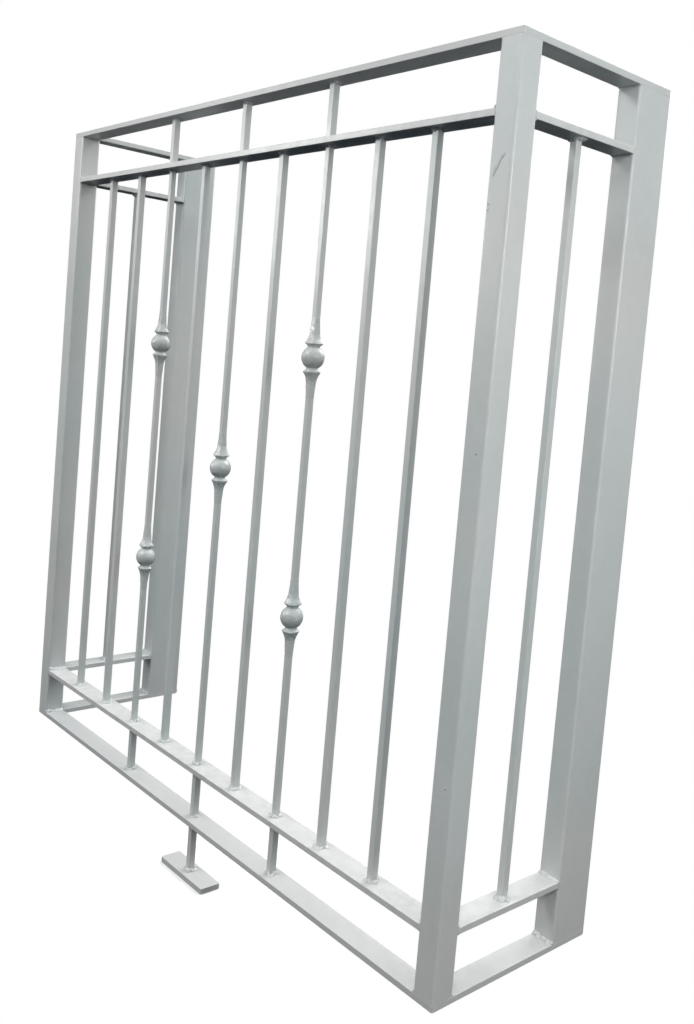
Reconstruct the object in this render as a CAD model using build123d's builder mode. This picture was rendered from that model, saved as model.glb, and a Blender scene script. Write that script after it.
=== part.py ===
"""Welded steel window guard: a box of tube posts and flat-bar rails filled with square bars.

X runs across the window, Y from the front face to the wall, Z up.  The origin is the middle of the
bounding box's bottom: under the foot plate, halfway across the width and halfway to the wall.
"""
from build123d import *
import os

os.makedirs("parts", exist_ok=True)

# ---------------------------------------------------------------- driving dimensions (mm)
# Overall sizes of the welded box, without its foot
frame_width = 1330.0
frame_depth = 340.0
frame_height = 1330.0

# Stock sections
post_side = 40.0            # square tube of the front posts, and the width of every flat bar
wall_post_depth = 80.0      # rectangular tube of the posts that stand against the wall
post_wall = 2.0
post_corner_radius = 4.0
rail_thickness = 10.0
rail_edge_radius = 0.8
rail_heel_radius = 7.0      # ground corner at the wall end of the top and bottom side rails
bar_size = 12.0
bar_edge_radius = 1.0
slim_bar_size = 10.0        # bars that carry knuckles
slim_bar_edge_radius = 0.8

# Layout
band_height = 90.0          # clear height of the bands at the top and the bottom
front_bar_count = 9
knuckle_bars = (3, 5, 7)    # counted from the left
middle_knuckle_bar = 5      # carries a single knuckle at mid height
knuckle_offset = 215.0      # of the paired knuckles, from mid height

# Foot under the middle of the bottom rail
foot_stem_length = 94.0
foot_plate_length = 145.0
foot_plate_width = 40.0
foot_plate_thickness = 10.0
foot_corner_radius = 3.0

# Forged knuckle: a ball between two collars that flare from the square bar to a round-cornered lip
ball_radius = 19.0
neck_radius = 9.4
neck_length = 6.5           # from the ball to the lip of a collar
lip_side = 25.0
lip_ledge = 1.2             # flat under the lip, round the end of the neck
lip_corner_share = 0.30     # corner radius of a collar section, as a share of its side
collar_waists = ((3.0, 22.5, 0.28), (6.0, 19.2, 0.25), (11.0, 15.2, 0.20), (16.0, 12.7, 0.15))
collar_length = 22.0        # from the lip to the end of the stub
stub_over_bar = 0.6         # how much wider a stub is than the bar welded to it
stub_corner_share = 0.10

# Weld beads
bar_bead_leg = 3.5
foot_bead_leg = 5.0
knuckle_bead_wall = 1.0     # thickness of the bead round a bar where it meets a stub
knuckle_bead_height = 3.0
gusset_leg = 8.0
gusset_depth = 5.0

# ---------------------------------------------------------------- levels and lines
half_width = frame_width / 2
front_y = -frame_depth / 2
wall_y = frame_depth / 2
bar_y = front_y + post_side / 2

foot_stem_bottom = foot_plate_thickness
bottom_rail_z = foot_stem_bottom + foot_stem_length
top_rail_z = bottom_rail_z + frame_height - rail_thickness
post_bottom = bottom_rail_z + rail_thickness
post_height = top_rail_z - post_bottom
lower_rail_z = post_bottom + band_height
upper_rail_z = top_rail_z - band_height - rail_thickness
bar_bottom = lower_rail_z + rail_thickness
bar_top = upper_rail_z
mid_height = (bar_bottom + bar_top) / 2

neck_height = (ball_radius**2 - neck_radius**2) ** 0.5   # all three from the ball's centre
lip_height = neck_height + neck_length
stub_height = lip_height + collar_length
neck_side = lip_side - 2 * lip_ledge
stub_side = slim_bar_size + stub_over_bar
knuckle_bead_side = slim_bar_size + 2 * knuckle_bead_wall
collar_sections = (             # distance from the lip, side, corner share
    (0.0, lip_side, lip_corner_share),
    *collar_waists,
    (collar_length, stub_side, stub_corner_share),
)

post_x = half_width - post_side / 2
wall_post_y = wall_y - wall_post_depth / 2
side_bar_y = (front_y + post_side + wall_y - wall_post_depth) / 2
front_bar_pitch = (frame_width - 2 * post_side) / (front_bar_count + 1)

parts = {}


def front_bar_x(number):
    """X of a front bar's centre line, counted from the left."""
    return -half_width + post_side + number * front_bar_pitch


def keep(name, part):
    """Label a finished piece and write it."""
    part.label = name
    parts[name] = part
    export_step(part, f"parts/{name}.step")


# ---------------------------------------------------------------- sections
def tube_post(centre_x, centre_y, depth):
    """A rectangular tube standing between the bottom and the top rails."""
    with BuildPart() as post:
        with BuildSketch(Plane((centre_x, centre_y, post_bottom))):
            RectangleRounded(post_side, depth, post_corner_radius)
            RectangleRounded(
                post_side - 2 * post_wall,
                depth - 2 * post_wall,
                post_corner_radius - post_wall,
                mode=Mode.SUBTRACT,
            )
        extrude(amount=post_height)
    return post.part


def square_bar(size, edge_radius, centre_x, centre_y, bottom, top):
    """A vertical square bar between two heights."""
    with BuildPart() as bar:
        with BuildSketch(Plane((centre_x, centre_y, bottom))):
            RectangleRounded(size, size, edge_radius)
        extrude(amount=top - bottom)
    return bar.part


def cap_rail_front(bottom):
    """Top or bottom front rail: it runs to both corners, where it is mitred to the side rails."""
    inner_x = half_width - post_side
    inner_y = front_y + post_side
    with BuildPart() as rail:
        with BuildSketch(Plane.XY.offset(bottom)):
            with BuildLine():
                Polyline(
                    (-half_width, front_y),
                    (half_width, front_y),
                    (inner_x, inner_y),
                    (-inner_x, inner_y),
                    close=True,
                )
            make_face()
            with Locations((0, front_y + frame_depth)):
                RectangleRounded(
                    frame_width, 2 * frame_depth, post_corner_radius, mode=Mode.INTERSECT
                )
        extrude(amount=rail_thickness)
        fillet(rail.edges().filter_by(Axis.X), rail_edge_radius)
    return rail.part


def cap_rail_side(side, bottom, heel_at_top):
    """Top or bottom side rail: mitred at the front corner, ground round at the wall."""
    outer_x = side * half_width
    inner_x = side * (half_width - post_side)
    with BuildPart() as rail:
        with BuildSketch(Plane.XY.offset(bottom)):
            with BuildLine():
                Polyline(
                    (outer_x, front_y),
                    (inner_x, front_y + post_side),
                    (inner_x, wall_y),
                    (outer_x, wall_y),
                    close=True,
                )
            make_face()
            with Locations((0, front_y + frame_depth)):
                RectangleRounded(
                    frame_width, 2 * frame_depth, post_corner_radius, mode=Mode.INTERSECT
                )
        extrude(amount=rail_thickness)
        fillet(rail.edges().filter_by(Axis.Y), rail_edge_radius)
        with BuildSketch(Plane.YZ) as side_view:
            with Locations((0, bottom + rail_thickness / 2)):
                Rectangle(frame_depth, rail_thickness)
            wall_corners = side_view.vertices().group_by(Axis.X)[-1].sort_by(Axis.Y)
            fillet(wall_corners[-1] if heel_at_top else wall_corners[0], rail_heel_radius)
        extrude(amount=half_width, both=True, mode=Mode.INTERSECT)
        with BuildSketch(Plane.XY.offset(bottom)):
            with Locations((0, wall_y - frame_depth)):
                RectangleRounded(frame_width, 2 * frame_depth, post_corner_radius)
        extrude(amount=rail_thickness, mode=Mode.INTERSECT)
    return rail.part


def flat_rail(centre_x, centre_y, length_x, length_y, bottom, long_axis):
    """A flat bar laid flat between two posts."""
    with BuildPart() as rail:
        with BuildSketch(Plane((centre_x, centre_y, bottom))):
            Rectangle(length_x, length_y)
        extrude(amount=rail_thickness)
        fillet(rail.edges().filter_by(long_axis), rail_edge_radius)
    return rail.part


# ---------------------------------------------------------------- posts
for side_name, side in (("left", -1), ("right", 1)):
    keep(f"post_front_{side_name}", tube_post(side * post_x, bar_y, post_side))
    keep(f"post_wall_{side_name}", tube_post(side * post_x, wall_post_y, wall_post_depth))

# ---------------------------------------------------------------- rails
front_rail_length = frame_width - 2 * post_side
side_rail_length = frame_depth - post_side - wall_post_depth

for level_name, level in (("bottom", bottom_rail_z), ("top", top_rail_z)):
    keep(f"rail_{level_name}_front", cap_rail_front(level))
    for side_name, side in (("left", -1), ("right", 1)):
        keep(f"rail_{level_name}_{side_name}", cap_rail_side(side, level, level_name == "top"))

for level_name, level in (("lower", lower_rail_z), ("upper", upper_rail_z)):
    keep(
        f"rail_{level_name}_front",
        flat_rail(0, bar_y, front_rail_length, post_side, level, Axis.X),
    )
    for side_name, side in (("left", -1), ("right", 1)):
        keep(
            f"rail_{level_name}_{side_name}",
            flat_rail(side * post_x, side_bar_y, post_side, side_rail_length, level, Axis.Y),
        )


# ---------------------------------------------------------------- knuckles
def knuckle_heights(number):
    """Heights of the knuckle centres on a front bar, lowest first."""
    if number == middle_knuckle_bar:
        return [mid_height]
    return [mid_height - knuckle_offset, mid_height + knuckle_offset]


def knuckle(centre_x, centre_z):
    """A forged knuckle: a ball with a flared collar above and below it."""
    with BuildPart() as forging:
        with BuildSketch(Plane((centre_x, bar_y, centre_z), x_dir=(1, 0, 0), z_dir=(0, -1, 0))):
            with BuildLine():
                meridian = CenterArc((0, 0), ball_radius, -90, 180)
                Line(meridian @ 1, meridian @ 0)
            make_face()
            Rectangle(2 * ball_radius, 2 * neck_height, mode=Mode.INTERSECT)
        revolve(axis=Axis((centre_x, bar_y, centre_z), (0, 0, 1)))
        for up in (1, -1):
            with BuildSketch(Plane((centre_x, bar_y, centre_z + up * neck_height))):
                Circle(neck_radius)
            with BuildSketch(Plane((centre_x, bar_y, centre_z + up * lip_height))):
                RectangleRounded(neck_side, neck_side, neck_side * lip_corner_share)
            loft()
            for reach, side, corner_share in collar_sections:
                section_z = centre_z + up * (lip_height + reach)
                with BuildSketch(Plane((centre_x, bar_y, section_z))):
                    RectangleRounded(side, side, side * corner_share)
            loft()
    return forging.part


def segment_name(number, index, count):
    """Name of one length of a knuckle bar."""
    names = ("lower", "upper") if count == 2 else ("lower", "middle", "upper")
    return f"front_bar_{number}_{names[index]}"


# ---------------------------------------------------------------- bars
for number in range(1, front_bar_count + 1):
    x = front_bar_x(number)
    if number not in knuckle_bars:
        keep(
            f"front_bar_{number}",
            square_bar(bar_size, bar_edge_radius, x, bar_y, bar_bottom, bar_top),
        )
        continue
    centres = knuckle_heights(number)
    starts = [bar_bottom] + [z + stub_height for z in centres]
    ends = [z - stub_height for z in centres] + [bar_top]
    for index, (start, end) in enumerate(zip(starts, ends)):
        keep(
            segment_name(number, index, len(starts)),
            square_bar(slim_bar_size, slim_bar_edge_radius, x, bar_y, start, end),
        )
    for index, z in enumerate(centres):
        suffix = "" if len(centres) == 1 else ("_lower", "_upper")[index]
        keep(f"knuckle_{number}{suffix}", knuckle(x, z))
    keep(
        f"short_bar_lower_{number}",
        square_bar(bar_size, bar_edge_radius, x, bar_y, post_bottom, lower_rail_z),
    )
    keep(
        f"short_bar_upper_{number}",
        square_bar(
            bar_size, bar_edge_radius, x, bar_y, upper_rail_z + rail_thickness, top_rail_z
        ),
    )

for side_name, side in (("left", -1), ("right", 1)):
    keep(
        f"side_bar_{side_name}",
        square_bar(bar_size, bar_edge_radius, side * post_x, side_bar_y, bar_bottom, bar_top),
    )

# ---------------------------------------------------------------- foot
with BuildPart() as foot_plate:
    with BuildSketch(Plane((0, bar_y, 0))):
        RectangleRounded(foot_plate_length, foot_plate_width, foot_corner_radius)
    extrude(amount=foot_plate_thickness)
    fillet(foot_plate.edges().group_by(Axis.Z)[-1], rail_edge_radius)
keep("foot_plate", foot_plate.part)
keep(
    "foot_stem",
    square_bar(bar_size, bar_edge_radius, 0, bar_y, foot_stem_bottom, bottom_rail_z),
)


# ---------------------------------------------------------------- weld beads
def bar_beads(places, bead_leg):
    """Fillet beads round bar ends.  A place is (x, y, z of the rail face, up or down, size, radius)."""
    with BuildPart() as beads:
        for x, y, z, up, size, radius in places:
            base = Plane((x, y, z), x_dir=(1, 0, 0), z_dir=(0, 0, up))
            with BuildSketch(base):
                RectangleRounded(size + 2 * bead_leg, size + 2 * bead_leg, radius + bead_leg)
            extrude(amount=bead_leg, taper=44)
            with BuildSketch(base):
                RectangleRounded(size, size, radius)
            extrude(amount=bead_leg, mode=Mode.SUBTRACT)
    return beads.part


def front_bar_section(number):
    """Size and edge radius of a front bar."""
    if number in knuckle_bars:
        return slim_bar_size, slim_bar_edge_radius
    return bar_size, bar_edge_radius


front_numbers = range(1, front_bar_count + 1)
feet = [(front_bar_x(n), bar_y, bar_bottom, 1, *front_bar_section(n)) for n in front_numbers]
heads = [(front_bar_x(n), bar_y, bar_top, -1, *front_bar_section(n)) for n in front_numbers]
keep("welds_front_bar_feet", bar_beads(feet, bar_bead_leg))
keep("welds_front_bar_heads", bar_beads(heads, bar_bead_leg))

side_ends = [
    (side * post_x, side_bar_y, z, up, bar_size, bar_edge_radius)
    for side in (-1, 1)
    for z, up in ((bar_bottom, 1), (bar_top, -1))
]
keep("welds_side_bars", bar_beads(side_ends, bar_bead_leg))

for level_name, low, high in (
    ("lower", post_bottom, lower_rail_z),
    ("upper", upper_rail_z + rail_thickness, top_rail_z),
):
    ends = [
        (front_bar_x(n), bar_y, z, up, bar_size, bar_edge_radius)
        for n in knuckle_bars
        for z, up in ((low, 1), (high, -1))
    ]
    keep(f"welds_short_bars_{level_name}", bar_beads(ends, bar_bead_leg))

stem_ends = [
    (0, bar_y, foot_stem_bottom, 1, bar_size, bar_edge_radius),
    (0, bar_y, bottom_rail_z, -1, bar_size, bar_edge_radius),
]
keep("welds_foot_stem", bar_beads(stem_ends, foot_bead_leg))

with BuildPart() as knuckle_beads:
    for number in knuckle_bars:
        for centre in knuckle_heights(number):
            for up in (1, -1):
                joint = Plane(
                    (front_bar_x(number), bar_y, centre + up * stub_height),
                    x_dir=(1, 0, 0),
                    z_dir=(0, 0, up),
                )
                with BuildSketch(joint):
                    RectangleRounded(
                        knuckle_bead_side, knuckle_bead_side, 2 * knuckle_bead_wall
                    )
                    RectangleRounded(
                        slim_bar_size, slim_bar_size, slim_bar_edge_radius, mode=Mode.SUBTRACT
                    )
                extrude(amount=knuckle_bead_height)
keep("welds_knuckles", knuckle_beads.part)


def post_envelopes():
    """The posts' outlines as plain blocks, for cutting what is welded against them."""
    with BuildPart() as blocks:
        for side in (-1, 1):
            for centre_y, depth in ((bar_y, post_side), (wall_post_y, wall_post_depth)):
                with BuildSketch(Plane((side * post_x, centre_y, post_bottom))):
                    RectangleRounded(post_side, depth, post_corner_radius)
        extrude(amount=post_height)
    return blocks.part


def corner_welds(origin, along, outward, levels):
    """Ground welds up one post edge: a fillet in each window corner, and a seam at each rail end.

    The origin is on the post's side face, flush with the outer faces, at height zero.
    """
    with BuildPart() as welds:
        for z, upright in levels:
            corner = Plane(origin + Vector(0, 0, z), x_dir=along, z_dir=outward)
            rise = gusset_leg if corner.y_dir.Z * upright > 0 else -gusset_leg
            with BuildSketch(corner):
                with BuildLine():
                    Polyline(
                        (0, rise),
                        (-post_corner_radius, rise),
                        (-post_corner_radius, 0),
                        (gusset_leg, 0),
                    )
                    RadiusArc((gusset_leg, 0), (0, rise), rise)
                make_face()
            extrude(amount=-gusset_depth)
        for rail_z in (lower_rail_z, upper_rail_z):
            seam_centre = origin + Vector(0, 0, rail_z + rail_thickness / 2)
            with BuildSketch(Plane(seam_centre, x_dir=along, z_dir=outward)):
                with Locations((-post_corner_radius / 2, 0)):
                    Rectangle(post_corner_radius, rail_thickness)
            extrude(amount=-post_corner_radius)
        add(post_blocks, mode=Mode.SUBTRACT)
    return welds.part


post_blocks = post_envelopes()
window_levels = (
    (post_bottom, 1),
    (lower_rail_z, -1),
    (bar_bottom, 1),
    (bar_top, -1),
    (upper_rail_z + rail_thickness, 1),
    (top_rail_z, -1),
)
for side_name, side in (("left", -1), ("right", 1)):
    front_edge = Vector(side * (half_width - post_side), front_y, 0)
    keep(
        f"welds_post_front_{side_name}_face",
        corner_welds(front_edge, (-side, 0, 0), (0, -1, 0), window_levels),
    )
    side_edge = Vector(side * half_width, front_y + post_side, 0)
    keep(
        f"welds_post_front_{side_name}_side",
        corner_welds(side_edge, (0, 1, 0), (side, 0, 0), window_levels),
    )
    wall_edge = Vector(side * half_width, wall_y - wall_post_depth, 0)
    keep(
        f"welds_post_wall_{side_name}",
        corner_welds(wall_edge, (0, -1, 0), (side, 0, 0), window_levels),
    )

print(len(parts), "nodes")
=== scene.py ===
"""Looks for the welded window guard: camera, studio, painted steel, welds and knuckles."""

import math
import random

import bmesh
import bpy
from mathutils import Matrix, Vector, noise


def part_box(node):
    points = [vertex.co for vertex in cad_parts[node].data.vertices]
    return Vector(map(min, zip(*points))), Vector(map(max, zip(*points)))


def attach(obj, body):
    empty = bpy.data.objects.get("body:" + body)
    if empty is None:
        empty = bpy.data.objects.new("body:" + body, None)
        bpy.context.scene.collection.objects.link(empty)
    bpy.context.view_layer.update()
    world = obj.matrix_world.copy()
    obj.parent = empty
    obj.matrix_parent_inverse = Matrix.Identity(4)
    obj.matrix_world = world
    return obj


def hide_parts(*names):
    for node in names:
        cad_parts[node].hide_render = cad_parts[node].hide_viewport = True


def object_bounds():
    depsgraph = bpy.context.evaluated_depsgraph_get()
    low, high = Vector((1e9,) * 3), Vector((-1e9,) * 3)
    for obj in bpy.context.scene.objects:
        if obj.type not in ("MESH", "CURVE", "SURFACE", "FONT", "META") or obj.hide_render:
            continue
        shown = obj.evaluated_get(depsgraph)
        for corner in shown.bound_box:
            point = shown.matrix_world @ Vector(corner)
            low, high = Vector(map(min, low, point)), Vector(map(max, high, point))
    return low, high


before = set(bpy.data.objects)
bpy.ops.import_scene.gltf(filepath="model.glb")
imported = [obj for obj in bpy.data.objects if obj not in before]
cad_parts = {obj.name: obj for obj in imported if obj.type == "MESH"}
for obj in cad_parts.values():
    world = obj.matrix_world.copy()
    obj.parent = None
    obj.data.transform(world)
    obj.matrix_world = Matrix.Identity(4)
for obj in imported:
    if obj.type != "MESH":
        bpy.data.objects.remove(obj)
CAD_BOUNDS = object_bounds()
ROOT = "root"
MM = 0.001
UP = Vector((0.0, 0.0, 1.0))
TO_WALL = Vector((0.0, 1.0, 0.0))
SIDE_SIGNS = (("left", -1), ("right", 1))
noise.seed_set(7)           # unseeded, noise_vector would start from the clock


# ---------------------------------------------------------------- camera
def make_camera():
    """The viewpoint: low, to the right of the guard, with a slight roll."""
    azimuth = math.radians(46.74)
    pitch = math.radians(-3.96)
    roll = math.radians(5.10)
    eye = Vector((1.5612, -1.1426, 0.9906))
    ahead = Vector(
        (-math.sin(azimuth) * math.cos(pitch), math.cos(azimuth) * math.cos(pitch), math.sin(pitch))
    )
    right = Vector((math.cos(azimuth), math.sin(azimuth), 0.0))
    up = right.cross(ahead)
    rolled_right = right * math.cos(roll) + up * math.sin(roll)
    rolled_up = up * math.cos(roll) - right * math.sin(roll)
    data = bpy.data.cameras.new("camera")
    data.sensor_fit = "VERTICAL"
    data.sensor_height = 36.0
    data.lens = 35.27
    data.shift_x = -0.0661
    data.shift_y = -0.0776
    data.clip_end = 100.0
    camera = bpy.data.objects.new("camera", data)
    axes = Matrix((rolled_right, rolled_up, -ahead)).transposed().to_4x4()
    camera.matrix_world = Matrix.Translation(eye) @ axes
    bpy.context.scene.collection.objects.link(camera)
    bpy.context.scene.camera = camera


make_camera()


# ---------------------------------------------------------------- node helpers
class Shader:
    """A small helper for building one node material."""

    def __init__(self, name):
        self.material = bpy.data.materials.new(name)
        self.material.use_nodes = True
        self.tree = self.material.node_tree
        self.tree.nodes.clear()
        self.output = self.node("ShaderNodeOutputMaterial")
        self.bsdf = self.node("ShaderNodeBsdfPrincipled")
        self.link(self.bsdf.outputs["BSDF"], self.output.inputs["Surface"])

    def node(self, kind, **settings):
        made = self.tree.nodes.new(kind)
        for key, value in settings.items():
            setattr(made, key, value)
        return made

    def link(self, source, target):
        self.tree.links.new(source, target)

    def position(self, scale=(1.0, 1.0, 1.0)):
        """The point in the guard's own frame, stretched by scale."""
        coordinate = self.node("ShaderNodeTexCoord")
        mapping = self.node("ShaderNodeMapping")
        mapping.inputs["Scale"].default_value = scale
        self.link(coordinate.outputs["Object"], mapping.inputs["Vector"])
        return mapping.outputs["Vector"]

    def noise(self, vector, scale, detail=3.0, roughness=0.5):
        made = self.node("ShaderNodeTexNoise")
        made.inputs["Scale"].default_value = scale
        made.inputs["Detail"].default_value = detail
        made.inputs["Roughness"].default_value = roughness
        self.link(vector, made.inputs["Vector"])
        return made.outputs["Fac"]

    def remap(self, value, low, high, to_low, to_high, smooth=False):
        made = self.node("ShaderNodeMapRange")
        made.interpolation_type = "SMOOTHSTEP" if smooth else "LINEAR"
        made.inputs["From Min"].default_value = low
        made.inputs["From Max"].default_value = high
        made.inputs["To Min"].default_value = to_low
        made.inputs["To Max"].default_value = to_high
        self.link(value, made.inputs["Value"])
        return made.outputs["Result"]

    def mix(self, factor, first, second):
        made = self.node("ShaderNodeMix", data_type="RGBA")
        self.link(factor, made.inputs["Factor"])
        for socket, value in (("A", first), ("B", second)):
            target = [s for s in made.inputs if s.name == socket and s.type == "RGBA"][0]
            if isinstance(value, tuple):
                target.default_value = (*value, 1.0)
            else:
                self.link(value, target)
        return [s for s in made.outputs if s.type == "RGBA"][0]

    def bump(self, height, distance, strength=1.0, below=None):
        made = self.node("ShaderNodeBump")
        made.inputs["Distance"].default_value = distance
        made.inputs["Strength"].default_value = strength
        self.link(height, made.inputs["Height"])
        if below is not None:
            self.link(below, made.inputs["Normal"])
        return made.outputs["Normal"]

    def length(self, vector):
        made = self.node("ShaderNodeVectorMath", operation="LENGTH")
        self.link(vector, made.inputs[0])
        return made.outputs["Value"]

    def from_point(self, place, scale=(1.0, 1.0, 1.0), turn=0.0):
        """The offset from a place in the guard's frame, turned about Y, then stretched by scale."""
        coordinate = self.node("ShaderNodeTexCoord")
        shift = self.node("ShaderNodeVectorMath", operation="SUBTRACT")
        self.link(coordinate.outputs["Object"], shift.inputs[0])
        shift.inputs[1].default_value = place
        mapping = self.node("ShaderNodeMapping")
        mapping.inputs["Rotation"].default_value = (0.0, turn, 0.0)
        self.link(shift.outputs["Vector"], mapping.inputs["Vector"])
        stretch = self.node("ShaderNodeVectorMath", operation="MULTIPLY")
        self.link(mapping.outputs["Vector"], stretch.inputs[0])
        stretch.inputs[1].default_value = scale
        return stretch.outputs["Vector"]


# ---------------------------------------------------------------- paint
PAINT_LIGHT = (0.560, 0.592, 0.580)
PAINT_DULL = (0.470, 0.508, 0.500)
PAINT_COOL = (0.490, 0.545, 0.545)
PAINT_WARM = (0.545, 0.550, 0.530)
# dark paint put into hollows: painted shade
PAINTED_SHADE_DARK = (0.200, 0.225, 0.235)
# pale paint along sharp edges: partly rubbed wear, partly a painted highlight
PAINT_PALE_WEAR_AND_HIGHLIGHT = (0.640, 0.650, 0.635)
RAIL_TONES = ((0.455, 0.468, 0.464), (0.535, 0.547, 0.542))
RAIL_HUES = ((0.492, 0.509, 0.508), (0.525, 0.532, 0.522))
SIDE_TONES = ((0.478, 0.508, 0.500), (0.560, 0.590, 0.578))
SIDE_HUES = ((0.498, 0.540, 0.537), (0.545, 0.553, 0.536))
FORGED_TONES = ((0.395, 0.450, 0.438), (0.500, 0.548, 0.535))
RUN_RELIEF = 0.0012         # height of a dried run of paint, in metres


def painted_steel(name, streak_scale, gloss=0.36, streak_depth=0.00005, peel_depth=0.00002,
                  lumps=0.00008, crevice_shade=0.0, edge=0.15, tones=(PAINT_DULL, PAINT_LIGHT),
                  hues=(PAINT_COOL, PAINT_WARM)):
    """Brushed light grey paint: soft clouds of tint, streaks along the stock, orange peel.

    Crevice shade paints shade into hollows; edge lightens sharp edges as rubbed wear and painted
    highlight.
    """
    shader = Shader(name)
    place = shader.position()
    along = shader.position(streak_scale)

    cloud = shader.noise(place, 5.0, 4.0, 0.55)       # about 0.2 m across
    tint = shader.noise(place, 2.3, 2.0, 0.5)         # about 0.4 m
    streak = shader.noise(along, 1.0, 3.0, 0.6)
    speck = shader.noise(place, 1500.0, 2.0, 0.5)     # under 1 mm
    tone = shader.mix(shader.remap(cloud, 0.35, 0.65, 0.0, 1.0), *tones)
    hue = shader.mix(shader.remap(tint, 0.38, 0.62, 0.0, 1.0), *hues)
    tone = shader.mix(shader.remap(streak, 0.25, 0.75, 0.35, 0.85), tone, hue)
    tone = shader.mix(shader.remap(speck, 0.60, 0.75, 0.0, 0.10), tone, PAINT_DULL)
    geometry = shader.node("ShaderNodeNewGeometry")
    pointiness = geometry.outputs["Pointiness"]
    # painted shade: the paint darkens in hollows and crevices, where shade falls
    tone = shader.mix(shader.remap(pointiness, 0.50, 0.42, 0.0, crevice_shade), tone, PAINTED_SHADE_DARK)
    # painted highlight and rubbed wear: the paint lightens along sharp edges, in patches
    patchy_wear_and_highlight = shader.noise(place, 60.0, 3.0, 0.6)
    rubbed_and_highlit = shader.remap(pointiness, 0.52, 0.60, 0.0, edge)
    wear_and_highlight = shader.node("ShaderNodeMath", operation="MULTIPLY")
    shader.link(rubbed_and_highlit, wear_and_highlight.inputs[0])
    shader.link(shader.remap(patchy_wear_and_highlight, 0.40, 0.60, 0.3, 1.0), wear_and_highlight.inputs[1])
    tone = shader.mix(wear_and_highlight.outputs["Value"], tone, PAINT_PALE_WEAR_AND_HIGHLIGHT)
    shader.link(tone, shader.bsdf.inputs["Base Color"])

    shine = shader.noise(place, 38.0, 3.0, 0.6)
    roughness = shader.remap(shine, 0.3, 0.7, gloss - 0.06, gloss + 0.08)
    shader.link(roughness, shader.bsdf.inputs["Roughness"])

    peel = shader.noise(place, 900.0, 2.0, 0.5)       # about 1 mm
    ripple = shader.noise(place, 130.0, 2.0, 0.5)     # about 8 mm
    normal = shader.bump(ripple, lumps, 0.5)
    normal = shader.bump(streak, streak_depth, 0.6, normal)
    normal = shader.bump(peel, peel_depth, 0.7, normal)
    shader.link(normal, shader.bsdf.inputs["Normal"])
    shader.bsdf.inputs["IOR"].default_value = 1.5
    shader.bsdf.inputs["Coat Weight"].default_value = 0.12
    shader.bsdf.inputs["Coat Roughness"].default_value = 0.20
    return shader


def add_paint_run(shader, points, half_width):
    """A dried run of paint: a thin wavy ridge through the given points, in the guard's frame."""
    normal = shader.bsdf.inputs["Normal"].links[0].from_socket
    for start, end in zip(points, points[1:]):
        middle = (Vector(start) + Vector(end)) / 2
        span = Vector(end) - Vector(start)
        lean = math.atan2(span.x, span.z)
        reach = (1.0 / half_width, 0.35 / half_width, 1.15 / span.length)
        distance = shader.length(shader.from_point(tuple(middle), reach, -lean))
        ridge = shader.remap(distance, 0.0, 1.0, 1.0, 0.0, smooth=True)
        normal = shader.bump(ridge, RUN_RELIEF, 1.0, normal)
    shader.link(normal, shader.bsdf.inputs["Normal"])


UPRIGHT = painted_steel("paint_upright", (260.0, 260.0, 5.0)).material
# edge=0.5 lightens the rails' sharp edges: partly rubbed wear, partly a painted highlight
ACROSS = painted_steel(
    "paint_across", (5.0, 260.0, 260.0), edge=0.5, tones=RAIL_TONES, hues=RAIL_HUES
).material
INWARD = painted_steel(
    "paint_inward", (260.0, 5.0, 260.0), edge=0.5, tones=SIDE_TONES, hues=SIDE_HUES
).material
# crevice shade paints shade into the forging's hollows; edge lightens its edges as wear and painted
# highlight
FORGED = painted_steel(
    "paint_forged", (140.0, 140.0, 140.0), gloss=0.25, streak_depth=0.00012,
    peel_depth=0.00003, lumps=0.0010, crevice_shade=0.6, edge=0.3, tones=FORGED_TONES,
).material
# crevice shade paints shade into the weld's hollows; edge lightens its edges as wear and painted
# highlight
WELDED = painted_steel(
    "paint_welded", (300.0, 300.0, 300.0), gloss=0.18, streak_depth=0.00012,
    peel_depth=0.00003, lumps=0.0003, crevice_shade=0.8, edge=0.5,
).material
CORNER = painted_steel("paint_corner_post", (260.0, 260.0, 5.0))
RUN = (
    (0.6513, -0.17, 1.2738),
    (0.6445, -0.17, 1.2655),
    (0.6405, -0.17, 1.2590),
    (0.6345, -0.17, 1.2530),
)
RUN_END = ((0.6420, -0.17, 1.2590), (0.6375, -0.17, 1.2515), (0.6335, -0.17, 1.2450))
NIBS = (
    (0.6296, -0.17, 1.2066),
    (0.6300, -0.17, 1.1990),
    (0.6501, -0.17, 0.876),
    (0.6508, -0.17, 0.416),
)
NIB_HEIGHT = 0.0030
add_paint_run(CORNER, RUN, 0.0030)
add_paint_run(CORNER, RUN_END, 0.0024)
for nib in NIBS:
    add_paint_run(CORNER, (nib, (nib[0], nib[1], nib[2] + NIB_HEIGHT)), 0.0022)
CORNER_POST = CORNER.material


def material_for(node):
    """The paint for a CAD node, by how its stock runs."""
    if node == "post_front_right":
        return CORNER_POST
    if node.startswith("welds_"):
        return WELDED
    if node.startswith("knuckle_"):
        return FORGED
    if node.startswith("rail_") or node == "foot_plate":
        side = node.endswith("left") or node.endswith("right")
        return INWARD if side else ACROSS
    return UPRIGHT


for node_name, node_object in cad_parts.items():
    node_object.data.materials.clear()
    node_object.data.materials.append(material_for(node_name))


# ---------------------------------------------------------------- sizes read from the frame
def low_high(node):
    low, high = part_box(node)
    return Vector(low), Vector(high)


LOWER = low_high("rail_lower_front")
UPPER = low_high("rail_upper_front")
BOTTOM = low_high("rail_bottom_front")
TOP = low_high("rail_top_front")
FRONT_Y = LOWER[0].y
RAIL_WIDTH = LOWER[1].y - LOWER[0].y


def bar_end(node, at_top):
    """A bar end's centre and half side, then 1 if it stands on a face or -1 if it hangs."""
    low, high = low_high(node)
    centre = (low + high) / 2
    centre.z = high.z if at_top else low.z
    return centre, (high.x - low.x) / 2, -1 if at_top else 1


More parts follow.
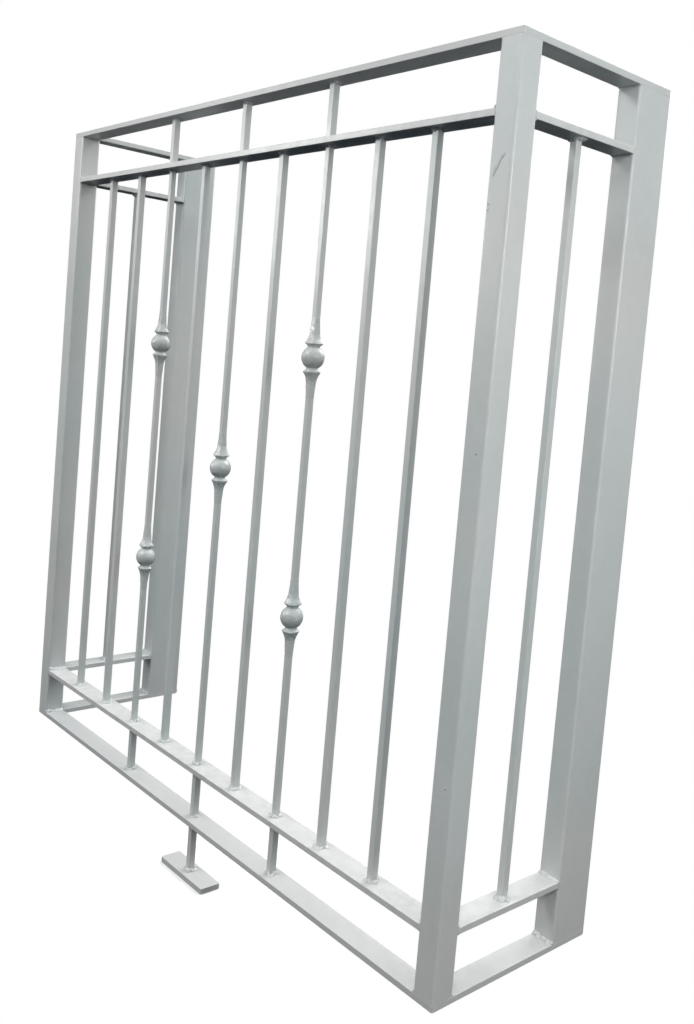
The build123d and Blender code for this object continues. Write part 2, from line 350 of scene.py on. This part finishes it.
# ---------------------------------------------------------------- mesh helpers
def new_piece(name, mesh, material, replaced=()):
    """Turn a bmesh into a piece that rides on the guard, kept inside the guard's own box."""
    box_low, box_high = CAD_BOUNDS
    for vertex in mesh.verts:
        for axis in range(3):
            vertex.co[axis] = min(max(vertex.co[axis], box_low[axis]), box_high[axis])
    bmesh.ops.recalc_face_normals(mesh, faces=mesh.faces)
    data = bpy.data.meshes.new(name)
    mesh.to_mesh(data)
    mesh.free()
    for polygon in data.polygons:
        polygon.use_smooth = True
    data.materials.append(material)
    piece = bpy.data.objects.new(name, data)
    bpy.context.scene.collection.objects.link(piece)
    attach(piece, ROOT)
    if replaced:
        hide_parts(*replaced)
    return piece


def skin_loops(mesh, loops, closed):
    """Join loops of points into a tube, either a ring or capped at both ends."""
    rows = [[mesh.verts.new(point) for point in loop] for loop in loops]
    count = len(rows[0])
    pairs = list(zip(rows, rows[1:]))
    if closed:
        pairs.append((rows[-1], rows[0]))
    for first, second in pairs:
        for i in range(count):
            j = (i + 1) % count
            mesh.faces.new((first[i], first[j], second[j], second[i]))
    if not closed:
        mesh.faces.new(reversed(rows[0]))
        mesh.faces.new(rows[-1])


def random_shift(hand, reach=5):
    """A random offset into the noise, which gives each bead or forging its own pattern."""
    return Vector([hand.uniform(-reach, reach) for _ in range(3)])


def rounded_square_radius(half_side, squareness, c, s):
    """How far a round-cornered square reaches in the direction (c, s)."""
    return half_side / (abs(c) ** squareness + abs(s) ** squareness) ** (1 / squareness)


def wobble(point, frequency, size):
    """A smooth pseudo-random offset for a point."""
    return noise.noise_vector(point * frequency) * size


# ---------------------------------------------------------------- hand-laid weld beads
BEAD_SUNK = 0.8 * MM


def bead_swell(hand, count, closed, pitch, floor=0.42):
    """How full a bead is at each station: overlapping round dabs with a crease between them."""
    swell = [floor] * count
    centre = hand.uniform(0, pitch)
    while centre < count:
        width = pitch * hand.uniform(0.55, 0.80)
        size = hand.uniform(0.75, 1.45)
        for i in range(count):
            gap = abs(i - centre)
            if closed:
                gap = min(gap, count - gap)
            if gap < width:
                swell[i] = max(swell[i], size * math.sqrt(1 - (gap / width) ** 2))
        centre += pitch * hand.uniform(0.75, 1.25)
    return swell


def bead_profile(out, up, fullness):
    """Corner-to-corner section of a bead: (away from the upright face, up from the flat face)."""
    points = [(-BEAD_SUNK, -BEAD_SUNK), (out * 0.9, -BEAD_SUNK)]
    steps = 7
    for i in range(steps + 1):
        share = i / steps
        turn = share * math.pi / 2
        round_x, round_y = math.cos(turn), math.sin(turn)
        hollow_x, hollow_y = 1 - math.sin(turn), 1 - math.cos(turn)
        points.append(
            (
                out * (fullness * round_x + (1 - fullness) * hollow_x),
                up * (fullness * round_y + (1 - fullness) * hollow_y),
            )
        )
    points.append((-BEAD_SUNK, up * 0.9))
    return points


def lay_bead(mesh, stations, closed, leg, hand, fullness, pitch=6.5):
    """A lumpy bead along stations, each a point and the two directions that leave the corner."""
    swell = bead_swell(hand, len(stations), closed, pitch)
    tall = bead_swell(hand, len(stations), closed, pitch * 1.3)
    seed = random_shift(hand)
    loops = []
    for (point, out_way, up_way), out_size, up_size in zip(stations, swell, tall):
        loop = []
        for out, up in bead_profile(leg * out_size, leg * 0.85 * up_size, fullness):
            place = point + out_way * out + up_way * up
            if out > 0 and up > 0:
                place += wobble(place + seed, 380.0, 0.55 * MM)
                place += wobble(place - seed, 900.0, 0.22 * MM)
            loop.append(place)
        loops.append(loop)
    skin_loops(mesh, loops, closed)


def ring_stations(centre, half_side, rise, count=64, squareness=7.0):
    """Stations round a square bar's end."""
    stations = []
    for i in range(count):
        turn = 2 * math.pi * (i + 0.5) / count
        c, s = math.cos(turn), math.sin(turn)
        reach = rounded_square_radius(half_side, squareness, c, s)
        power = squareness - 1
        way = Vector(
            (math.copysign(abs(c) ** power, c), math.copysign(abs(s) ** power, s), 0.0)
        ).normalized()
        stations.append((centre + Vector((c, s, 0.0)) * reach, way, Vector((0.0, 0.0, rise))))
    return stations


def line_stations(start, end, out_way, up_way, count=26):
    """Stations along a straight inside corner."""
    return [(start.lerp(end, i / (count - 1)), out_way, up_way) for i in range(count)]


def add_spatter(mesh, centre, half_side, rise, hand, count):
    """Little balls of spatter stuck to the face round a bar's end."""
    for _ in range(count):
        angle = hand.uniform(0, 2 * math.pi)
        away = half_side + hand.uniform(5.0, 16.0) * MM
        radius = hand.uniform(0.5, 0.95) * MM
        place = centre + Vector((math.cos(angle) * away, math.sin(angle) * away * 0.55, 0.0))
        place.z += rise * radius * 0.25
        stretch = Matrix.Diagonal((1.0, hand.uniform(0.8, 1.2), 0.8, 1.0))
        bmesh.ops.create_icosphere(
            mesh, subdivisions=2, radius=radius, matrix=Matrix.Translation(place) @ stretch
        )


def bar_beads(name, replaced, ends, leg, fullness, seed, spatter=0):
    """One piece with a bead round every listed bar end."""
    hand = random.Random(seed)
    mesh = bmesh.new()
    for node, at_top in ends:
        centre, half_side, rise = bar_end(node, at_top)
        lay_bead(mesh, ring_stations(centre, half_side, rise), True, leg, hand, fullness)
        add_spatter(mesh, centre, half_side, rise, hand, spatter)
    return new_piece(name, mesh, WELDED, (replaced,))


KNUCKLE_BARS = (3, 5, 7)
FRONT_BARS = range(1, 10)
FEET = [f"front_bar_{n}_lower" if n in KNUCKLE_BARS else f"front_bar_{n}" for n in FRONT_BARS]
HEADS = [f"front_bar_{n}_upper" if n in KNUCKLE_BARS else f"front_bar_{n}" for n in FRONT_BARS]
SHORT_LOWER = [f"short_bar_lower_{n}" for n in KNUCKLE_BARS]
SHORT_UPPER = [f"short_bar_upper_{n}" for n in KNUCKLE_BARS]
SIDES = ("side_bar_left", "side_bar_right")



def both_ends(nodes):
    """Every listed bar's lower end, then its upper end."""
    return [(node, at_top) for node in nodes for at_top in (False, True)]


BAR_BEADS = (       # piece, CAD node, bar ends, leg (mm), fullness, seed, spatter at each end
    ("bar_feet", "front_bar_feet", [(n, False) for n in FEET], 4.9, 0.85, 11, 4),
    ("bar_heads", "front_bar_heads", [(n, True) for n in HEADS], 5.0, 0.40, 12, 0),
    ("side_bars", "side_bars", both_ends(SIDES), 6.4, 0.85, 13, 4),
    ("short_bars_lower", "short_bars_lower", both_ends(SHORT_LOWER), 5.4, 0.85, 14, 4),
    ("short_bars_upper", "short_bars_upper", both_ends(SHORT_UPPER), 4.4, 0.55, 15, 0),
    ("foot_stem", "foot_stem", both_ends(("foot_stem",)), 6.2, 0.85, 16, 4),
)
for beads, welds, ends, leg_mm, full, bead_seed, spatter_count in BAR_BEADS:
    bar_beads(
        f"beads_{beads}", f"welds_{welds}", ends, leg_mm * MM, full, bead_seed, spatter_count
    )


# ---------------------------------------------------------------- welds where rails meet posts
SEAM_INSET = 0.06 * MM      # a ground weld lies just under the face round it
SEAM_HALF_HEIGHT = 1.5 * MM
SEAM_MARGIN = 3 * MM        # a seam across a post end stops short of its corners
PATCH_DEPTH = 3.5 * MM
# Leg (mm) of the bead at each rail face that meets a post, from the bottom up, and its fullness
LEGS = {
    "front_left_face": ((5.2, 2.6, 6.0, 2.6, 3.6, 2.4), 0.85),
    "front_right_face": ((3.4, 2.4, 3.6, 2.6, 3.6, 2.4), 0.45),
    "front_left_side": ((4.6, 2.4, 4.8, 2.4, 3.6, 2.6), 0.75),
    "front_right_side": ((3.4, 2.2, 3.6, 2.4, 3.6, 2.6), 0.45),
    "wall_left": ((5.2, 2.4, 5.6, 2.6, 3.8, 2.4), 0.85),
    "wall_right": ((5.4, 2.4, 6.0, 2.6, 3.4, 2.4), 0.90),
}


def window_levels():
    """The rail faces that meet a post: height, and 1 for a top face or -1 for an underside."""
    return (
        (BOTTOM[1].z, 1),
        (LOWER[0].z, -1),
        (LOWER[1].z, 1),
        (UPPER[0].z, -1),
        (UPPER[1].z, 1),
        (TOP[0].z, -1),
    )


def ground_patch(mesh, centre, along, upright, outward, half_along, half_up, hand):
    """A ground-flush patch of weld that fills the groove between a rail's end and a post."""
    seed = random_shift(hand)
    rows = 9
    columns = 11
    top = []
    for i in range(rows):
        row = []
        for j in range(columns):
            u = 2 * i / (rows - 1) - 1
            v = 2 * j / (columns - 1) - 1
            flat = centre + along * (half_along * u) + upright * (half_up * v)
            edge = max(abs(u), abs(v)) ** 6
            rough = abs(noise.noise((flat + seed) * 300.0))
            dip = SEAM_INSET + 0.10 * MM * rough + 0.5 * MM * edge
            row.append(mesh.verts.new(flat - outward * dip))
        top.append(row)
    rim = [top[0][j] for j in range(columns)]
    rim += [top[i][-1] for i in range(1, rows)]
    rim += [top[-1][j] for j in range(columns - 2, -1, -1)]
    rim += [top[i][0] for i in range(rows - 2, 0, -1)]
    base = [mesh.verts.new(v.co - outward * PATCH_DEPTH) for v in rim]
    for i in range(rows - 1):
        for j in range(columns - 1):
            mesh.faces.new((top[i][j], top[i][j + 1], top[i + 1][j + 1], top[i + 1][j]))
    for i in range(len(rim)):
        j = (i + 1) % len(rim)
        mesh.faces.new((rim[i], rim[j], base[j], base[i]))
    mesh.faces.new(base)


def post_edge_welds(place, corner, along, outward, seed):
    """Beads across every rail face that meets one side of a post, ground flush at the outer face.

    The corner is a point on the post's side at height zero, in the plane of the outer faces.
    """
    hand = random.Random(seed)
    mesh = bmesh.new()
    legs, fullness = LEGS[place]
    for (height, rise), leg in zip(window_levels(), legs):
        start = corner - outward * (0.25 * MM) + UP * height
        end = corner - outward * (RAIL_WIDTH - 1.0 * MM) + UP * height
        stations = line_stations(start, end, along, UP * rise)
        lay_bead(mesh, stations, False, leg * MM, hand, fullness if rise > 0 else 0.35, 5.5)
    for low, high in (LOWER, UPPER):
        middle = corner + UP * ((low.z + high.z) / 2) - along * (1.6 * MM)
        half_up = (high.z - low.z) / 2 - 0.5 * MM
        ground_patch(mesh, middle, along, UP, outward, 3.4 * MM, half_up, hand)
    return new_piece(f"beads_post_{place}", mesh, WELDED, (f"welds_post_{place}",))


for side_name, side in SIDE_SIGNS:
    across = Vector((side, 0.0, 0.0))
    post_low, post_high = low_high(f"post_front_{side_name}")
    wall_low, wall_high = low_high(f"post_wall_{side_name}")
    inner_x = post_low.x if side > 0 else post_high.x
    outer_x = post_high.x if side > 0 else post_low.x
    post_edge_welds(
        f"front_{side_name}_face", Vector((inner_x, FRONT_Y, 0.0)), -across, -TO_WALL, 31 + side
    )
    post_edge_welds(
        f"front_{side_name}_side", Vector((outer_x, post_high.y, 0.0)), TO_WALL, across, 41 + side
    )
    post_edge_welds(
        f"wall_{side_name}", Vector((outer_x, wall_low.y, 0.0)), -TO_WALL, across, 51 + side
    )


def cap_seams():
    """Ground seams where the top and bottom rails cross the ends of the posts."""
    hand = random.Random(61)
    mesh = bmesh.new()
    for side_name, side in SIDE_SIGNS:
        across = Vector((side, 0.0, 0.0))
        low, high = low_high(f"post_front_{side_name}")
        wall_low, wall_high = low_high(f"post_wall_{side_name}")
        outer_x = high.x if side > 0 else low.x
        for z in (BOTTOM[1].z, TOP[0].z):
            faces = (       # middle, along, outward, width
                (((low.x + high.x) / 2, low.y, z), across, -TO_WALL, high.x - low.x),
                ((outer_x, (low.y + high.y) / 2, z), TO_WALL, across, high.y - low.y),
                (
                    (outer_x, (wall_low.y + wall_high.y) / 2, z),
                    TO_WALL,
                    across,
                    wall_high.y - wall_low.y,
                ),
            )
            for middle, along, outward, width in faces:
                half = width / 2 - SEAM_MARGIN
                ground_patch(
                    mesh, Vector(middle), along, UP, outward, half, SEAM_HALF_HEIGHT, hand
                )
    return new_piece("seams_post_ends", mesh, WELDED)


cap_seams()


# ---------------------------------------------------------------- forged knuckles
NECK_RADIUS = 9.4 * MM
BALL_STEPS = 34
KNUCKLE_SIDES = 88          # points round a forging
DENT_COUNT = 30
DENT_REACH = 7.5 * MM       # distance of the dents from the bar's axis
CALM_END = 6 * MM           # the forging smooths out over this length at its ends
BALL_RIM = 1.2 * MM         # within this of the full radius, no lump may stand out
COLLAR_SECTIONS = (         # distance from the neck, half side, squareness
    (0.0, 9.4, 2.0),
    (2.6, 9.9, 2.2),
    (4.6, 11.2, 2.8),
    (5.5, 12.2, 3.3),
    (6.2, 12.65, 3.4),
    (7.0, 12.65, 3.4),
    (7.8, 12.2, 3.4),
    (9.5, 11.55, 3.3),
    (12.5, 10.0, 3.4),
    (17.5, 8.1, 4.2),
    (22.5, 6.85, 6.5),
    (28.5, 6.0, 12.0),
)


def smooth_between(before, start, end, after, share):
    """A Catmull-Rom step between two sections."""
    values = []
    for a, b, c, d in zip(before, start, end, after):
        values.append(
            0.5
            * (
                2 * b
                + (c - a) * share
                + (2 * a - 5 * b + 4 * c - d) * share**2
                + (3 * b - a - 3 * c + d) * share**3
            )
        )
    return values


def collar_rings(steps=7):
    """The collar's sections, refined: distance from the neck, half side, squareness."""
    sections = COLLAR_SECTIONS
    rings = []
    for i in range(len(sections) - 1):
        before = sections[max(i - 1, 0)]
        after = sections[min(i + 2, len(sections) - 1)]
        for step in range(steps):
            rings.append(smooth_between(before, sections[i], sections[i + 1], after, step / steps))
    rings.append(list(sections[-1]))
    return rings


def dents(hand, count, reach, half_height):
    """Random pits and lumps on the collars: a point near the stub, a size and a depth."""
    made = []
    for _ in range(count):
        angle = hand.uniform(0, 2 * math.pi)
        height = hand.choice((-1, 1)) * (half_height - hand.uniform(2.0, 17.0) * MM)
        spot = Vector((math.cos(angle) * reach, math.sin(angle) * reach, height))
        made.append((spot, hand.uniform(1.0, 2.2) * MM, hand.uniform(-1.25, 0.75) * MM))
    return made


def forge_knuckle(node, seed):
    """A forged knuckle with its hammered surface: ball, necks and flared collars in one skin."""
    hand = random.Random(seed)
    low, high = low_high(node)
    centre = (low + high) / 2
    ball_radius = (high.x - low.x) / 2
    neck_height = math.sqrt(ball_radius**2 - NECK_RADIUS**2)
    half_height = (high.z - low.z) / 2
    sections = []
    limit = math.asin(neck_height / ball_radius)
    for i in range(1, BALL_STEPS):
        tilt = limit * (2 * i / BALL_STEPS - 1)
        sections.append((ball_radius * math.sin(tilt), ball_radius * math.cos(tilt), 2.0))
    reach = half_height - neck_height
    scale = reach / (COLLAR_SECTIONS[-1][0] * MM)
    collar = [(neck_height + d * MM * scale, half * MM, sq) for d, half, sq in collar_rings()]
    sections = [(-z, half, sq) for z, half, sq in reversed(collar)] + sections + collar

    marks = dents(hand, DENT_COUNT, DENT_REACH, half_height)
    seed_shift = random_shift(hand, 3)
    twist = (math.radians(hand.uniform(-5, 5)), math.radians(hand.uniform(-5, 5)))
    loops = []
    for height, half, squareness in sections:
        edge = max(0.0, 1.0 - abs(abs(height) - half_height) / CALM_END)
        calm = 1.0 - edge
        lean = twist[0] if height > 0 else twist[1]
        lean *= calm if abs(height) > neck_height else 0.0
        loop = []
        for i in range(KNUCKLE_SIDES):
            turn = 2 * math.pi * i / KNUCKLE_SIDES
            radius = rounded_square_radius(half, squareness, math.cos(turn), math.sin(turn))
            way = Vector((math.cos(turn + lean), math.sin(turn + lean), 0.0))
            point = way * radius + Vector((0.0, 0.0, height))
            broad = noise.noise((point + seed_shift) * 75.0) * 0.55 * MM
            fine = noise.noise((point + seed_shift) * 260.0) * 0.34 * MM
            radius_change = (broad + fine - 0.1 * MM) * calm
            for spot, width, depth in marks:
                gap = (point - spot).length / width
                if gap < 3:
                    radius_change += depth * math.exp(-gap * gap) * (0.3 + 0.7 * calm)
            if half > ball_radius - BALL_RIM:
                radius_change = min(radius_change, 0.0)
            point += way * radius_change
            if abs(height) > neck_height:
                point.z += noise.noise((point + seed_shift) * 90.0) * 0.5 * MM * calm
            loop.append(centre + point)
        loops.append(loop)
    mesh = bmesh.new()
    skin_loops(mesh, loops, False)
    return new_piece(node.replace("knuckle", "forging"), mesh, FORGED, (node,))


KNUCKLES = ("knuckle_3_lower", "knuckle_3_upper", "knuckle_5", "knuckle_7_lower", "knuckle_7_upper")
for number, knuckle_node in enumerate(KNUCKLES):
    forge_knuckle(knuckle_node, 71 + number)


SLEEVE_LENGTH = 20.0 * MM
SLEEVE_STEPS = 20
SLEEVE_SIDES = 64           # points round a sleeve
SLEEVE_SQUARENESS = 14
SLEEVE_TAPER = 1.6
SLEEVE_THIN_HALF = 5.06 * MM        # a hair over the slim bar's half side
SPOT_COUNT = 9
SPOT_WIDTH = 1.8 * MM
STUB_HALF = COLLAR_SECTIONS[-1][1] * MM


def sleeve_spots(hand):
    """Random pits and lumps on a sleeve: an angle, a distance along it and a depth."""
    return [
        (
            hand.uniform(0, 2 * math.pi),
            hand.uniform(0.0, 12.0) * MM,
            hand.uniform(-0.5, 0.7) * MM,
        )
        for _ in range(SPOT_COUNT)
    ]


def sleeve_loop(base, way_out, step, seed, spots):
    """One ring of a sleeve; the ring at step -1 is sunk in the stub."""
    share = max(step, 0) / SLEEVE_STEPS
    rise = step * SLEEVE_LENGTH / SLEEVE_STEPS
    taper = (1 - share) ** SLEEVE_TAPER
    half = SLEEVE_THIN_HALF + (STUB_HALF + 0.10 * MM - SLEEVE_THIN_HALF) * taper
    if step < 0:
        half = STUB_HALF - 0.3 * MM
    loop = []
    for i in range(SLEEVE_SIDES):
        turn = 2 * math.pi * i / SLEEVE_SIDES
        c, s = math.cos(turn), math.sin(turn)
        radius = rounded_square_radius(half, SLEEVE_SQUARENESS, c, s)
        point = Vector((c * radius, s * radius, way_out * rise))
        rough = noise.noise((point + seed) * 320.0) * 0.35 * MM
        for angle, along, depth in spots:
            spot = Vector(
                (math.cos(angle) * half * 1.1, math.sin(angle) * half * 1.1, way_out * along)
            )
            gap = (spot - point).length / SPOT_WIDTH
            if gap < 3:
                rough += depth * math.exp(-gap * gap)
        radius += max(rough, -0.6 * MM) * math.sin(math.pi * share)
        loop.append(base + Vector((c * radius, s * radius, way_out * rise)))
    return loop


def knuckle_joints():
    """Dressed welds that taper from each knuckle's stub down to its slimmer bar."""
    hand = random.Random(81)
    mesh = bmesh.new()
    for node in KNUCKLES:
        low, high = low_high(node)
        centre = (low + high) / 2
        for height, way_out in ((low.z, -1), (high.z, 1)):
            base = Vector((centre.x, centre.y, height))
            seed = random_shift(hand)
            spots = sleeve_spots(hand)
            steps = range(-1, SLEEVE_STEPS + 1)
            loops = [sleeve_loop(base, way_out, step, seed, spots) for step in steps]
            skin_loops(mesh, loops, False)
    return new_piece("beads_knuckles", mesh, WELDED, ("welds_knuckles",))


knuckle_joints()


# ---------------------------------------------------------------- stage and light
def make_floor():
    """A plain pale floor under the foot, fading into the white round it."""
    shader = Shader("floor_paper")
    place = shader.position()
    tone = shader.mix(shader.noise(place, 3.0), (0.90, 0.90, 0.90), (0.92, 0.92, 0.92))
    shader.link(tone, shader.bsdf.inputs["Base Color"])
    shader.bsdf.inputs["Roughness"].default_value = 0.9
    white = shader.node("ShaderNodeEmission")
    near_foot = shader.from_point((0.0, FRONT_Y + RAIL_WIDTH / 2, 0.0))
    fade = shader.remap(shader.length(near_foot), 0.10, 0.34, 0.0, 1.0)
    blend = shader.node("ShaderNodeMixShader")
    shader.link(fade, blend.inputs["Fac"])
    shader.link(shader.bsdf.outputs["BSDF"], blend.inputs[1])
    shader.link(white.outputs["Emission"], blend.inputs[2])
    shader.link(blend.outputs["Shader"], shader.output.inputs["Surface"])
    mesh = bpy.data.meshes.new("floor")
    reach = 30.0
    turns = ((-1, -1), (1, -1), (1, 1), (-1, 1))
    corners = [(x * reach, y * reach, 0.0) for x, y in turns]
    mesh.from_pydata(corners, [], [(0, 1, 2, 3)])
    mesh.materials.append(shader.material)
    floor = bpy.data.objects.new("floor", mesh)
    floor.location.z = -0.0005
    bpy.context.scene.collection.objects.link(floor)
    floor.visible_diffuse = False
    floor.visible_glossy = False


def make_world():
    """White behind the guard; the light it gives comes from a bright ceiling over a dim room."""
    world = bpy.data.worlds.new("studio")
    bpy.context.scene.world = world
    world.use_nodes = True
    tree = world.node_tree
    tree.nodes.clear()
    output = tree.nodes.new("ShaderNodeOutputWorld")
    seen = tree.nodes.new("ShaderNodeBackground")
    seen.inputs["Color"].default_value = (1.0, 1.0, 1.0, 1.0)
    given = tree.nodes.new("ShaderNodeBackground")
    coordinate = tree.nodes.new("ShaderNodeTexCoord")
    split = tree.nodes.new("ShaderNodeSeparateXYZ")
    ramp = tree.nodes.new("ShaderNodeValToRGB")
    ramp.color_ramp.elements[0].position = 0.10
    ramp.color_ramp.elements[0].color = (0.000, 0.004, 0.013, 1.0)
    ramp.color_ramp.elements[1].position = 0.45
    ramp.color_ramp.elements[1].color = (0.20, 0.21, 0.22, 1.0)
    ceiling = ramp.color_ramp.elements.new(0.75)
    ceiling.color = (1.18, 1.18, 1.18, 1.0)
    tree.links.new(coordinate.outputs["Generated"], split.inputs["Vector"])
    tree.links.new(split.outputs["Z"], ramp.inputs["Fac"])
    tree.links.new(ramp.outputs["Color"], given.inputs["Color"])
    path = tree.nodes.new("ShaderNodeLightPath")
    choice = tree.nodes.new("ShaderNodeMixShader")
    tree.links.new(path.outputs["Is Camera Ray"], choice.inputs["Fac"])
    tree.links.new(given.outputs["Background"], choice.inputs[1])
    tree.links.new(seen.outputs["Background"], choice.inputs[2])
    tree.links.new(choice.outputs["Shader"], output.inputs["Surface"])


def add_area(name, place, target, size, power, shines):
    """A square softbox at place, facing target; one that does not shine gives no highlights."""
    data = bpy.data.lights.new(name, "AREA")
    data.shape = "SQUARE"
    data.size = size
    data.energy = power
    light = bpy.data.objects.new(name, data)
    light.location = place
    light.rotation_euler = (Vector(target) - Vector(place)).to_track_quat("-Z", "Y").to_euler()
    light.visible_glossy = shines
    bpy.context.scene.collection.objects.link(light)


SOFTBOXES = (       # name, place, target, side (m), power (W), whether it gives highlights
    ("softbox_front", (-0.5, -2.1, 2.4), (0.0, 0.0, 0.8), 0.6, 23.0, True),
    ("softbox_left", (-2.6, -2.4, 1.8), (-0.4, 0.0, 0.9), 0.7, 32.0, True),
    ("softbox_back", (0.2, 2.1, 2.6), (0.0, 0.0, 0.9), 2.0, 66.0, True),
    ("softbox_corner", (2.2, -2.4, 1.9), (0.2, 0.0, 0.9), 0.6, 24.5, False),
    ("softbox_right", (1.80, -0.10, 1.28), (0.6, 0.0, 0.9), 0.5, 7.0, True),
    ("softbox_right_far", (5.0, 0.4, 2.0), (0.4, 0.0, 0.9), 1.5, 34.0, True),
)

make_floor()
make_world()
for softbox in SOFTBOXES:
    add_area(*softbox)
bpy.context.scene.view_settings.view_transform = "Standard"
